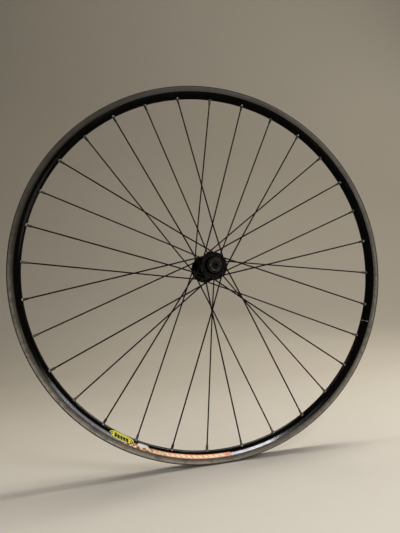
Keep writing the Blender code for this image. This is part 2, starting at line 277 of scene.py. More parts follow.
def smooth(mesh):
    """Outward faces and smooth shading, with sharp edges only where the surface turns hard."""
    work = bmesh.new()
    work.from_mesh(mesh)
    bmesh.ops.remove_doubles(work, verts=work.verts, dist=MERGE_DISTANCE)
    bmesh.ops.recalc_face_normals(work, faces=work.faces)
    work.to_mesh(mesh)
    work.free()
    mesh.shade_smooth()
    mesh.set_sharp_from_angle(angle=SHARP_ANGLE)
    return mesh


def skin(name, rings, closed=False):
    """A mesh over equal rings of points. Its last ring joins its first, or both are capped."""
    size = len(rings[0])
    vertices = [point for ring in rings for point in ring]
    faces = []
    for i in range(len(rings) if closed else len(rings) - 1):
        here = i * size
        ahead = (i + 1) % len(rings) * size
        for j in range(size):
            k = (j + 1) % size
            faces.append((here + j, here + k, ahead + k, ahead + j))
    if not closed:
        faces.append(tuple(range(size)))
        faces.append(tuple(len(vertices) - 1 - j for j in range(size)))
    mesh = bpy.data.meshes.new(name)
    mesh.from_pydata(vertices, [], faces)
    return smooth(mesh)


def turned(name, loop, shape=None, stations=SMALL_STATIONS):
    """A ring turned about the axle from a closed loop of (radius, y) points. Shape may move each point."""
    rings = []
    for angle in angles(stations):
        section = [shape(point, angle) for point in loop] if shape else loop
        rings.append(stood(section, angle))
    return skin(name, rings, closed=True)


def swept(name, points, radii, sides):
    """A solid round bar along points, with its own radius at each."""
    tangents = []
    for i in range(len(points)):
        before = points[max(i - 1, 0)]
        after = points[min(i + 1, len(points) - 1)]
        tangents.append((after - before).normalized())
    across = tangents[0].orthogonal().normalized()
    rings = []
    for point, radius, tangent in zip(points, radii, tangents):
        across = (across - tangent * across.dot(tangent)).normalized()
        third = tangent.cross(across)
        rings.append([
            point + (across * cos(angle) + third * sin(angle)) * radius for angle in angles(sides)])
    return skin(name, rings)


def joined(name, meshes):
    """One mesh made of several, each in its own place."""
    work = bmesh.new()
    for mesh in meshes:
        work.from_mesh(mesh)
        bpy.data.meshes.remove(mesh)
    whole = bpy.data.meshes.new(name)
    work.to_mesh(whole)
    work.free()
    return whole


def carved(mesh, cutter):
    """The mesh with a cutter mesh taken out of it."""
    body = add_object("body", mesh)
    tool = add_object("tool", cutter)
    boolean = body.modifiers.new("carve", "BOOLEAN")
    boolean.operation = "DIFFERENCE"
    boolean.object = tool
    bpy.context.view_layer.update()
    depsgraph = bpy.context.evaluated_depsgraph_get()
    result = bpy.data.meshes.new_from_object(body.evaluated_get(depsgraph))
    for obj in (body, tool):
        bpy.data.objects.remove(obj)
    result.name = mesh.name
    return smooth(result)


def bored(places, outline, sides):
    """Cutters turned from (radius, height) points, one at each (middle, direction) place."""
    drills = []
    for middle, direction in places:
        stand = aimed(middle, direction)
        drills.append(skin("drill", [
            [stand @ upright(radius, angle, height) for angle in angles(sides)] for radius, height in outline
        ]))
    return joined("drills", drills)


# -------- materials


# Places of the colour sockets on a Mix node
MIX_FIRST, MIX_SECOND, MIX_RESULT = 6, 7, 2


def on_nodes(operation):
    """A method that puts a value, and any others that it is given, through a Math node."""
    return lambda value, *others: value.look.maths(operation, value, *others)


class Value:
    """A value that varies over a surface: a node's output, with arithmetic on it."""

    def __init__(self, look, socket):
        self.look = look
        self.socket = socket

    __add__ = on_nodes("ADD")
    __sub__ = on_nodes("SUBTRACT")
    __mul__ = on_nodes("MULTIPLY")
    __truediv__ = on_nodes("DIVIDE")
    __pow__ = on_nodes("POWER")
    __abs__ = on_nodes("ABSOLUTE")
    __lt__ = on_nodes("LESS_THAN")


class Look:
    """A node material, built up one node at a time."""

    def __init__(self, name, **sockets):
        self.material = bpy.data.materials.new(name)
        self.material.use_nodes = True
        self.tree = self.material.node_tree
        self.shader = self.tree.nodes["Principled BSDF"]
        self.finish(**sockets)

    def feed(self, socket, value):
        if isinstance(value, Value):
            self.tree.links.new(value.socket, socket)
        else:
            socket.default_value = value

    def finish(self, **sockets):
        """The material, once some shader sockets, named in lower case with underscores, are set or linked."""
        for socket, value in sockets.items():
            self.feed(self.shader.inputs[socket.replace("_", " ").title().replace("Ior", "IOR")], value)
        return self.material

    def node(self, kind, inputs, output=0, **settings):
        """One output of a new node, after values or links go to some of its inputs."""
        node = self.tree.nodes.new("ShaderNode" + kind)
        for setting, value in settings.items():
            setattr(node, setting, value)
        for key, value in inputs.items():
            self.feed(node.inputs[key], value)
        return Value(self, node.outputs[output])

    def maths(self, operation, *values):
        return self.node("Math", dict(enumerate(values)), operation=operation)

    def place(self):
        """The point on the resting object, in metres."""
        return self.node("TexCoord", {}, "Object")

    def parts(self):
        """The point's x, y and z."""
        split = self.node("SeparateXYZ", {0: self.place()})
        return [Value(self, output) for output in split.socket.node.outputs]

    def wheel(self):
        """The point's radius and y, and the x and z of its direction from the axle."""
        x, y, z = self.parts()
        radius = self.maths("SQRT", x ** 2 + z ** 2)
        return radius, y, x / radius, z / radius

    def noise(self, scale, detail=3, roughness=0.5, vector=None):
        """Cloudy noise over the resting object, or over other coordinates."""
        return self.node("TexNoise", {
            "Vector": vector or self.place(), "Scale": scale, "Detail": detail, "Roughness": roughness})

    def streaks(self, around, across, detail=3, roughness=0.5):
        """Noise that changes slowly round the wheel and quickly across it, for turned surfaces."""
        radius, y, east, up = self.wheel()
        ring = (radius + y) * (1 / across)
        vector = self.node("CombineXYZ", {0: east * around, 1: up * around, 2: ring})
        return self.noise(1, detail, roughness, vector)

    def ramp(self, value, low, high, to_low=0, to_high=1):
        """Value taken from low..high to another range, held inside it."""
        return self.node("MapRange", dict(enumerate((value, low, high, to_low, to_high))), clamp=True)

    def mix(self, factor, first, second):
        """A blend of two colours, each a node's value or plain."""
        first, second = [(*colour, 1) if isinstance(colour, tuple) else colour for colour in (first, second)]
        return self.node(
            "Mix", {0: factor, MIX_FIRST: first, MIX_SECOND: second}, MIX_RESULT, data_type="RGBA")

    def bump(self, height, strength, distance):
        return self.node("Bump", {"Strength": strength, "Distance": distance, "Height": height})


def rim_gloss_look():
    """Glossy black anodising with a dust film, fine handling scratches and a few chips."""
    look = Look("rim_gloss_black", ior=1.45)
    dust = look.ramp(look.noise(90, 5, 0.65), 0.52, 0.78, 0, 0.25)
    chips = look.ramp(look.noise(900, 2), 0.735, 0.75)
    black = look.mix(dust, (0.0015, 0.0013, 0.0011), (0.012, 0.01, 0.008))
    scratches = look.streaks(30, 0.15 * MM, 2)
    return look.finish(
        base_color=look.mix(chips, black, (0.42, 0.41, 0.4)),
        metallic=chips,
        roughness=look.ramp(look.noise(40, 4), 0.3, 0.7, 0.08, 0.15),
        normal=look.bump(scratches, 0.06, 0.02 * MM))


def brake_track_look():
    """Machined aluminium, dulled by brake pads into grey-brown streaks, with painted shade that darkens it
    towards the upper left.
    """
    look = Look("brake_track", metallic=0.8, anisotropic=0.4)
    streaks = look.ramp(look.streaks(4, 0.9 * MM, 4, 0.6), 0.36, 0.66)
    smears = look.ramp(look.noise(22, 4, 0.6), 0.35, 0.7)
    patches = look.ramp(look.noise(150, 4, 0.6), 0.42, 0.62, 0, 0.7)
    grime = look.maths("MAXIMUM", streaks * smears, patches)
    rings = look.ramp(look.streaks(0.8, 1.6 * MM), 0.42, 0.6, 0, 0.85)
    fine = look.streaks(14, 0.11 * MM, 2)
    radius, _, east, up = look.wheel()
    outward = look.ramp(radius, 309 * MM, 313.5 * MM)
    bare = look.mix(fine * 0.35 + outward * 0.65, (0.212, 0.199, 0.174), (0.46, 0.434, 0.386))
    # Painted shade: a dark film, thickest towards the upper left of the wheel and broken up by noise, darkens
    # the track there.
    drift = look.noise(9, 4, 0.6) * 0.9
    film = look.ramp(up * 0.9 - east * 0.5 + drift, -0.15, 1.35, 0, 0.75)
    worn = look.mix(look.maths("MAXIMUM", grime, rings), bare, (0.1, 0.086, 0.066))
    return look.finish(
        base_color=look.mix(film, worn, (0.045, 0.038, 0.028)),
        roughness=look.ramp(streaks, 0, 1, 0.48, 0.64),
        normal=look.bump(fine, 0.35, 0.03 * MM),
        tangent=look.node("Tangent", {}, direction_type="RADIAL", axis="Y"))


def rim_satin_look():
    """Dark anodising on the outer lip and the tyre bed, worn grey where tyre beads have sat."""
    look = Look("rim_satin_dark", metallic=0.5)
    rubs = look.ramp(look.streaks(9, 1.3 * MM, 5, 0.6), 0.5, 0.75, 0, 0.6)
    fine = look.streaks(20, 0.2 * MM, 2)
    return look.finish(
        base_color=look.mix(rubs, (0.01, 0.009, 0.0078), (0.05, 0.046, 0.04)),
        roughness=look.ramp(fine, 0.3, 0.7, 0.36, 0.5),
        normal=look.bump(fine, 0.2, 0.02 * MM))


def grain_look(name, grain, dark, light, rough, depth, **sockets):
    """A plain surface with a fine grain, given by its noise's scale and further settings."""
    look = Look(name, **sockets)
    grain = look.noise(*grain)
    return look.finish(
        base_color=look.mix(grain, dark, light),
        roughness=look.ramp(grain, 0.3, 0.7, rough, rough + 0.2),
        normal=look.bump(grain, 0.3, depth))


def metal_look(name, dark, light, rough, grime=0.3):
    """Plain metal with cloudy tarnish, fine grain and dirt in patches."""
    look = Look(name, metallic=1)
    cloud = look.noise(1 / (6 * MM), 4, 0.6)
    grain = look.noise(1 / (0.25 * MM))
    dirt = look.ramp(look.noise(1 / (2.5 * MM), 5, 0.7), 0.5, 0.75, 0, grime)
    return look.finish(
        base_color=look.mix(dirt, look.mix(cloud, dark, light), (0.05, 0.04, 0.03)),
        roughness=look.ramp(cloud, 0.3, 0.7, rough, rough + 0.16),
        normal=look.bump(grain, 0.12, 0.02 * MM))


def spoke_look():
    """Black oxidised steel wire, brown where it has aged and brighter where it has been worn."""
    look = Look("spoke_black", ior=1.22)
    age = look.ramp(look.noise(60, 4, 0.6), 0.4, 0.68)
    rubs = look.ramp(look.noise(420, 4, 0.7), 0.66, 0.74, 0, 0.7)
    black = look.mix(age, (0.0016, 0.0012, 0.0009), (0.007, 0.0045, 0.0025))
    return look.finish(
        base_color=look.mix(rubs, black, (0.045, 0.036, 0.027)),
        roughness=look.ramp(age, 0, 1, 0.36, 0.5),
        normal=look.bump(look.noise(2600, 2), 0.12, 0.02 * MM))


def hub_look():
    """Satin black anodised shell with turning lines and worn grey edges."""
    look = Look("hub_black", ior=1.15)
    turning = look.streaks(6, 0.25 * MM)
    rubs = look.ramp(look.noise(260, 5, 0.7), 0.62, 0.76, 0, 0.5)
    return look.finish(
        base_color=look.mix(rubs, (0.0012, 0.0013, 0.001), (0.009, 0.0085, 0.008)),
        roughness=look.ramp(turning, 0.3, 0.7, 0.26, 0.38),
        normal=look.bump(turning, 0.2, 0.02 * MM))


def dust_cap_look():
    """Dark plated steel, worn to a lighter grey along its lip; the lighter lip is also a painted highlight.
    """
    look = Look("dust_cap_plate", metallic=0.9)
    # Partly wear and partly painted highlight: the lip is made lighter all round the cap's edge.
    edge = look.ramp(look.wheel()[0], 11.2 * MM, 12.2 * MM)
    worn = look.ramp(look.noise(500, 4, 0.6), 0.35, 0.6)
    return look.finish(
        base_color=look.mix(edge * worn, (0.005, 0.005, 0.0048), (0.05, 0.048, 0.045)),
        roughness=look.ramp(worn, 0, 1, 0.3, 0.42),
        normal=look.bump(look.streaks(5, 0.2 * MM, 2), 0.2, 0.02 * MM))


def rusty_look():
    """Dark plated axle steel with brown rust in patches, and a worn grey ring on its nuts that shows on the
    lower left only, as a painted highlight.
    """
    look = Look("axle_steel", metallic=0.4, ior=1.25)
    rust = look.ramp(look.noise(350, 5, 0.65), 0.42, 0.6)
    fine = look.noise(2200, 3, 0.6)
    radius, _, east, up = look.wheel()
    # Painted highlight: the grey worn ring at the nuts' edge shows only on their lower left, the side where
    # light falls.
    painted_highlight_side = look.ramp(east + up, 0.5, -0.9, 0.05, 1)
    worn_ring_with_painted_highlight = look.ramp(radius, 7.6 * MM, 8.3 * MM) * painted_highlight_side
    brown = look.mix(fine, (0.009, 0.0036, 0.0022), (0.024, 0.0105, 0.006))
    plate = look.mix(rust, (0.008, 0.007, 0.0064), brown)
    return look.finish(
        base_color=look.mix(worn_ring_with_painted_highlight, plate, (0.14, 0.137, 0.129)),
        roughness=look.ramp(rust, 0, 1, 0.34, 0.72),
        normal=look.bump(fine, 0.35, 0.04 * MM))


def along_rim(look, position):
    """Distance along the rim from a place counted in spokes, and the radius, both in millimetres."""
    radius, _, east, up = look.wheel()
    middle = on_wheel(1, spoke_angle(position), 0)
    sine = east * middle.z - up * middle.x
    return look.maths("ARCSINE", sine) * (DECAL_RADIUS / MM), radius * (1 / MM)


def vinyl(look, colour, wear=0.72):
    """Finish a decal's look: a printed film under lacquer, scuffed through in small spots."""
    scuff = look.ramp(look.noise(700, 5, 0.7), wear, wear + 0.03, 0, 0.8)
    cloud = look.noise(120)
    return look.finish(
        base_color=look.mix(scuff, colour, (0.03, 0.026, 0.022)),
        roughness=look.ramp(cloud, 0.3, 0.7, 0.22, 0.4),
        coat_weight=0.2,
        coat_roughness=0.2,
        normal=look.bump(cloud, 0.05, 0.1 * MM))


def badge_look():
    """Yellow capsule with a dark outline, a dot at each end and a row of slanted blocks. No lettering."""
    look = Look("decal_badge")
    along, radius = along_rim(look, BADGE_CENTRE)
    across = radius - BADGE_MIDDLE / MM
    slanted = along + across * 0.45
    wave = look.maths("FRACT", (slanted + 20.5 * BADGE_BLOCK_PITCH) / BADGE_BLOCK_PITCH)
    in_row = abs(across) < 2.3
    blocks = (abs(wave - 0.5) < 0.42) * (in_row * (abs(slanted) < 12.4))
    from_middle = abs(along)
    dot = (from_middle - 15.6) ** 2 + across ** 2 < 0.9
    round_end = 16.64
    past_straight = look.ramp(from_middle, 4.16, 20.8, 0, round_end) / round_end
    outline = look.maths("COMPARE", (across / 3.9) ** 2 + past_straight ** 2, 0.78, 0.1)
    marks = look.maths("MAXIMUM", look.maths("MAXIMUM", blocks, dot), outline)
    yellow = look.mix(look.noise(150), (0.85, 0.78, 0.03), (0.95, 0.92, 0.08))
    return vinyl(look, look.mix(marks, yellow, (0.006, 0.005, 0.003)))


def stripe_look():
    """Cream band of slanted blocks with orange edges and gaps, speckled with wear. No lettering."""
    look = Look("decal_stripe")
    along, radius = along_rim(look, (STRIPE_START + STRIPE_END) / 2)
    across = radius - STRIPE_MIDDLE / MM
    ragged = look.noise(260)
    slanted = along + (across + ragged) * 1.2
    wave = look.maths("FRACT", (slanted + 300) / 9)
    in_band = look.ramp(abs(across) + ragged, 2.6, 1.8)
    in_block = look.ramp(wave + ragged * 0.5, 1.12, 1.0) * look.ramp(along, -79, -77)
    orange = look.mix(look.noise(60), (0.75, 0.2, 0.1), (0.85, 0.36, 0.17))
    face = look.mix(in_band * in_block, orange, (0.95, 0.78, 0.45))
    worn_end = look.ramp(along, 5, 60) * look.ramp(ragged, 0.47, 0.53)
    return vinyl(look, look.mix(worn_end, face, (0.1, 0.045, 0.015)), wear=0.64)


def tag_look():
    """A small white tag beside the badge."""
    look = Look("decal_tag")
    return vinyl(look, look.mix(look.noise(300, 4), (0.7, 0.66, 0.66), (0.85, 0.82, 0.84)))


LOOKS = {
    "rim_gloss": rim_gloss_look(),
    "track": brake_track_look(),
    "rim_satin": rim_satin_look(),
    "seam": grain_look("rim_seam", (2500,), (0.5, 0.49, 0.47), (0.7, 0.69, 0.67), 0.3, 0.03 * MM, metallic=1),
    "mill": metal_look("mill_aluminium", (0.42, 0.42, 0.42), (0.6, 0.6, 0.59), 0.38),
    "spoke": spoke_look(),
    "nipple": metal_look("nipple_plate", (0.05, 0.046, 0.039), (0.14, 0.13, 0.113), 0.38, 0.7),
    "eyelet": metal_look("eyelet_steel", (0.34, 0.33, 0.31), (0.5, 0.49, 0.46), 0.3, 0.5),
    "hub": hub_look(),
    "dust_cap": dust_cap_look(),
    "steel": metal_look("bearing_steel", (0.5, 0.5, 0.5), (0.62, 0.62, 0.62), 0.14, 0.15),
    "axle": rusty_look(),
    "rubber": grain_look(
        "seal_rubber", (1800, 4, 0.6), (0.003, 0.003, 0.003), (0.012, 0.011, 0.01), 0.65, 0.05 * MM, ior=1.3),
    "badge": badge_look(),
    "stripe": stripe_look(),
    "tag": tag_look(),
}


def add_piece(name, mesh, body, looks, replaced=None):
    """Show a mesh as a piece that rides on a body, with its looks in order of material index."""
    piece = add_object(name, mesh)
    mesh.materials.clear()
    for look in looks:
        mesh.materials.append(LOOKS[look])
    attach(piece, body)
    if replaced:
        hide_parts(replaced)


# -------- rim


def rim_outside():
    """Right half of the rim's outside, from the crown over the side wall and brake track to the tyre bed."""
    outer = RIM_OUTER_RADIUS / MM
    half = RIM_HALF_WIDTH / MM
    crown = RIM_CROWN_RADIUS / MM
    return rounded(in_mm(
        (crown, 0, 0), (crown, 2.9, 2.5), (outer - 14.6, half - 3.35, 9),
        (outer - 13.3, half - 2.52, 0), (outer - 10.1, half - 0.46, 0), (outer - 9.6, half - 0.14, 0.3),
        (outer - 9.4, half - 0.34, 0.1), (outer - 5.8, half - 0.4, 9), (outer - 1.6, half - 0.3, 0.1),
        (outer - 1.4, half - 0.04, 0.15), (outer - 0.6, half, 0.3), (outer, half - 0.7, 0.45),
        (outer, half - 1.9, 0.45), (outer - 1.4, half - 2.6, 0.5), (outer - 5.5, half - 2, 1.2),
        (outer - 6.6, 6, 1.2), (outer - 8.8, 5.1, 1.5), (outer - 8.8, 0, 0)))


def rim_hollow():
    """Right half of the hollow between the crown and the tyre bed."""
    crown = (RIM_CROWN_RADIUS + RIM_WALL) / MM
    return rounded(in_mm(
        (crown, 0, 0), (crown, 2.3, 1), (crown + 3.2, 5.3, 2), (crown + 6.4, 7.5, 1),
        (crown + 8.2, 7.9, 0.5), (crown + 8.3, 6.6, 0.5), ((RIM_BED_RADIUS - RIM_WALL) / MM, 4.8, 1),
        ((RIM_BED_RADIUS - RIM_WALL) / MM, 0, 0)))


def inset(loop, depth):
    """A closed loop of points moved inwards by a depth."""
    moved = []
    for i, point in enumerate(loop):
        along = loop[(i + 1) % len(loop)] - loop[i - 1]
        normal = Vector((-along.y, along.x)).normalized()
        moved.append(point + normal * depth)
    return moved


def rim_stations():
    """(angle, groove depth) round the rim, with a narrow groove where its two ends meet."""
    seam = spoke_angle(SEAM_POSITION)
    half = SEAM_HALF_WIDTH / RIM_OUTER_RADIUS
    even = [(spoke_angle(0.25) + TURN * i / RIM_STATIONS, 0) for i in range(RIM_STATIONS)]
    clear = [station for station in even if abs(station[0] - seam) > 2 * half]
    groove = [(seam - half, 0), (seam, SEAM_DEPTH), (seam + half, 0)]
    return sorted(clear + groove)


RIM_LOOKS = ("rim_gloss", "track", "rim_satin", "seam")


def rim_face_look(face):
    """Look of a rim face: side wall and crown, brake track, satin lip and bed, or seam."""
    middle = face.center
    radius = hypot(middle.x, middle.z)
    angle = atan2(middle.x, middle.z)
    width = abs(middle.y)
    off_seam = (angle - spoke_angle(SEAM_POSITION) + pi) % TURN - pi
    facing_out = face.normal.dot(on_wheel(1, angle, 0)) > 0.5
    if width > RIM_HALF_WIDTH - TRACK_MOST_DEPTH and TRACK_INSIDE < radius < TRACK_OUTSIDE:
        return "track"
    if radius > PAINT_EDGE_RADIUS or facing_out:
        return "rim_satin"
    if abs(off_seam) < SEAM_HALF_WIDTH / RIM_OUTER_RADIUS:
        return "seam"
    return "rim_gloss"


def make_rim():
    outside = both_sides(rim_outside())
    inside = both_sides(rim_hollow())
    stations = rim_stations()
    shell = skin("rim_body", [stood(inset(outside, -depth), angle) for angle, depth in stations], closed=True)
    hollow = skin("rim_hollow", [stood(inside, angle) for angle, _ in stations], closed=True)
    shell = carved(shell, hollow)
    middle = (RIM_CROWN_RADIUS + RIM_BED_RADIUS) / 2
    stepped = (
        (NIPPLE_HOLE_RADIUS, -DRILL_REACH), (NIPPLE_HOLE_RADIUS, 0),
        (ACCESS_HOLE_RADIUS, 0), (ACCESS_HOLE_RADIUS, DRILL_REACH))
    shell = carved(shell, bored(spoke_holes(middle, SPOKE_DRILLING_OFFSET), stepped, NIPPLE_HOLE_SIDES))
    valve = spoke_angle(VALVE_POSITION)
    straight = ((VALVE_HOLE_RADIUS, -DRILL_REACH), (VALVE_HOLE_RADIUS, DRILL_REACH))
    valve_place = (on_wheel(middle, valve, 0), on_wheel(1, valve, 0))
    shell = carved(shell, bored([valve_place], straight, VALVE_HOLE_SIDES))
    add_piece("rim_shell", shell, "wheel", RIM_LOOKS, "rim")
    for face in shell.polygons:
        face.material_index = RIM_LOOKS.index(rim_face_look(face))


def make_sleeve():
    """The U-shaped sleeve that joins the rim's ends inside its hollow."""
    crown = (RIM_CROWN_RADIUS + RIM_WALL) / MM + 0.3
    half = rounded(in_mm(
        (crown + 1.2, 0, 0), (crown + 1.2, 1.6, 1), (crown + 3.6, 4, 1), (crown + 5, 5.1, 0.2),
        (crown + 5, 6.3, 0.2), (crown + 3, 4.9, 1), (crown, 2, 1), (crown, 0, 0)))
    section = both_sides(half)
    middle = spoke_angle(SEAM_POSITION)
    reach = SLEEVE_LENGTH / 2 / RIM_CROWN_RADIUS
    sleeve = skin("joint_sleeve", [
        stood(section, middle + reach * (2 * i / SLEEVE_STEPS - 1)) for i in range(SLEEVE_STEPS + 1)])
    add_piece("joint_sleeve", sleeve, "wheel", ("mill",), "rim_joint_sleeve")


def wall_line(side):
    """Points up the side wall's painted face, where decals lie, with their outward normals."""
    corners = rim_outside()
    flip = Matrix.Diagonal((1, side))
    wall = []
    for i in range(1, len(corners) - 1):
        point = corners[i]
        if point.x < TRACK_INSIDE - DECAL_TO_TRACK and point.y > WALL_START:
            along = (corners[i + 1] - corners[i - 1]).normalized()
            wall.append((flip @ point, flip @ Vector((-along.y, along.x))))
    return wall


def on_wall(line, share):
    """A (point, normal) pair at a share of the length up the side wall."""
    lengths = [(line[i + 1][0] - line[i][0]).length for i in range(len(line) - 1)]
    left = share * sum(lengths)
    first = 0
    while first < len(lengths) - 1 and left > lengths[first]:
        left -= lengths[first]
        first += 1
    blend = left / lengths[first]
    (low, low_normal), (high, high_normal) = line[first:first + 2]
    return low.lerp(high, blend), low_normal.lerp(high_normal, blend).normalized()


def film_ring(line, low, high, angle, thickness):
    """One closed ring of a film's section between two shares up the wall."""
    over = []
    under = []
    for j in range(FILM_COLUMNS + 1):
        point, normal = on_wall(line, low + (high - low) * j / FILM_COLUMNS)
        over.append(point + normal * thickness)
        under.append(point - normal * FILM_SINK)
    return stood(over + under[::-1], angle)


def make_decal(look, side_name, start, end, reach, thickness):
    """A thin film on the side wall. Reach gives its lowest and highest share up the wall at a share along."""
    line = wall_line(SIDES[side_name])
    name = f"decal_{look}_{side_name}"
    rings = []
    for i in range(FILM_STEPS + 1):
        along = i / FILM_STEPS
        low, high = reach(along)
        rings.append(film_ring(line, low, high, start + (end - start) * along, thickness))
    add_piece(name, skin(name, rings), "wheel", (look,))


# -------- spokes


def spoke_side(index):
    return NEAR if index % 2 == 0 else FAR


def spoke_holes(radius, y, direction=None):
    """A (middle, direction) place for each spoke's hole, radial unless a direction is given."""
    return [
        (on_wheel(radius, spoke_angle(i), spoke_side(i) * y), direction or on_wheel(1, spoke_angle(i), 0))
        for i in range(SPOKE_COUNT)]


def spoke_lean(index):
    """1 where the hub hole lies clockwise of the nipple, -1 where it lies anticlockwise."""
    return 1 if index % 4 in (0, 3) else -1


def crossing_radius():
    """Distance from the axle to the outermost crossing of two spokes of one flange."""
    hole = FLANGE_HOLE_CIRCLE_RADIUS
    rim = RIM_CROWN_RADIUS
    chord = sqrt(hole ** 2 + rim ** 2 - 2 * hole * rim * cos(HUB_HOLE_SWEEP))
    nearest = hole * rim * sin(HUB_HOLE_SWEEP) / chord
    return nearest / cos(acos(nearest / rim) - SPOKE_PITCH)


def spoke_corners(index):
    """(point, bend radius) corners of a spoke's middle line, from its head to its seat in the rim."""
    side = spoke_side(index)
    lean = spoke_lean(index)
    rim_angle = spoke_angle(index)
    hole = on_wheel(FLANGE_HOLE_CIRCLE_RADIUS, rim_angle + lean * HUB_HOLE_SWEEP, 0)
    crossing = on_wheel(crossing_radius(), rim_angle + lean * SPOKE_PITCH, 0)
    along = (crossing - hole).normalized()
    run = FLANGE_THICKNESS / 2 + SPOKE_RADIUS + FLANGE_CLEARANCE
    head = FLANGE_THICKNESS / 2 + FLANGE_CLEARANCE

    def at(point, y):
        return Vector((point.x, side * y, point.z))

    corners = [
        (at(hole, FLANGE_CENTRE - lean * head), 0),
        (at(hole, FLANGE_CENTRE + lean * run), ELBOW_RADIUS),
    ]
    if lean > 0:
        corners.append((at(hole + along * FLANGE_EDGE_RUN, FLANGE_CENTRE + run), FLANGE_EDGE_BEND))
    corners.append((at(crossing, CROSSING_MIDDLE - lean * CROSSING_SPACING / 2), CROSSING_BEND))
    corners.append((on_wheel(RIM_CROWN_RADIUS, rim_angle, side * SPOKE_DRILLING_OFFSET), 0))
    return corners


def make_spoke(index):
    corners = spoke_corners(index)
    line = rounded(corners)
    start = line[0]
    into = (corners[1][0] - start).normalized()
    head = [(-height * SPOKE_HEAD_HEIGHT, width * SPOKE_HEAD_RADIUS) for height, width in HEAD_PROFILE]
    head += [(0.05 * MM, SHANK_RADIUS), (0.6 * MM, SHANK_RADIUS), (0.9 * MM, SPOKE_RADIUS)]
    points = [start + into * distance for distance, _ in head]
    radii = [radius for _, radius in head]
    reach = head[-1][0]
    for point in line[1:]:
        if (point - start).length > reach + 0.05 * MM:
            points.append(point)
            radii.append(SPOKE_RADIUS)
    mesh = swept(f"spoke_wire_{index + 1:02d}", points, radii, SPOKE_SIDES)
    add_piece(mesh.name, mesh, "wheel", ("spoke",), f"spoke_{index + 1:02d}")


def nipple_mesh():
    """A slotted nipple along Z, with its seat at zero and its wrench flats below."""
    back = -NIPPLE_SHOWING
    top = NIPPLE_HEAD_TOP
    bore = SPOKE_RADIUS + 0.03 * MM
    round_part = NIPPLE_RADIUS
    head = NIPPLE_HEAD_RADIUS
    levels = [
        (bore, back + 0.1 * MM, 0), (1.35 * MM, back, 0), (1.6 * MM, back + 0.25 * MM, 1),
        (round_part, back + 0.7 * MM, 1), (round_part, -2.4 * MM, 1), (round_part, -1.9 * MM, 0),
        (round_part, 2.1 * MM, 0), (0.8 * head, 2.3 * MM, 0), (0.97 * head, 2.7 * MM, 0),
        (head, 3 * MM, 0), (0.96 * head, 3.6 * MM, 0), (0.82 * head, 4.15 * MM, 0),
        (0.6 * head, top - 0.12 * MM, 0), (0.42 * head, top, 0), (bore, top, 0),
    ]
    rings = []
    for radius, z, flats in levels:
        ring = []
        for angle in angles(NIPPLE_SIDES):
            square = polygon_radius(NIPPLE_FLATS / 2, 4, angle)
            ring.append(upright(min(radius, square) if flats else radius, angle, z))
        rings.append(ring)
    low = top - SLOT_DEPTH
    high = top + SLOT_DEPTH
    x = SLOT_HALF_WIDTH
    slot = skin("slot", [
        [Vector((x, y, low)), Vector((x, y, high)), Vector((-x, y, high)), Vector((-x, y, low))]
        for y in (-2 * head, 2 * head)])
    return carved(skin("nipple", rings, closed=True), slot)


def eyelet_mesh():
    """A rolled ring along Z that lines a spoke hole, with the rim's crown at zero and the hub below."""
    neck = NIPPLE_HOLE_RADIUS / MM
    loop = rounded(in_mm(
        (neck - 0.35, 1.6, 0), (neck - 0.35, -0.5, 0.3), (neck + 0.15, -0.78, 0.3), (neck + 0.8, -0.5, 0.4),
        (neck + 0.85, 1.4, 0.1), (neck - 0.02, 1.4, 0.1), (neck - 0.02, 1.6, 0)))
    rings = [[upright(point.x, angle, point.y) for point in loop] for angle in angles(EYELET_SIDES)]
    return skin("eyelet", rings, closed=True)


def make_spoke_fittings(index, nipple, eyelet):
    """Place a nipple along its spoke and an eyelet square to the rim."""
    corners = spoke_corners(index)
    seat = corners[-1][0]
    direction = (seat - corners[-2][0]).normalized()
    turn = Matrix.Rotation(index * NIPPLE_TURN_STEP, 4, "Z")
    for kind, mesh, aim, slot in (
            ("nipple", nipple, direction, "nipples"),
            ("eyelet", eyelet, on_wheel(1, spoke_angle(index), 0), "eyelets")):
        placed = mesh.copy()
        placed.name = f"{kind}_{index + 1:02d}"
        placed.transform(aimed(seat, aim) @ turn)
        add_piece(placed.name, placed, "wheel", (kind,))


# -------- hub


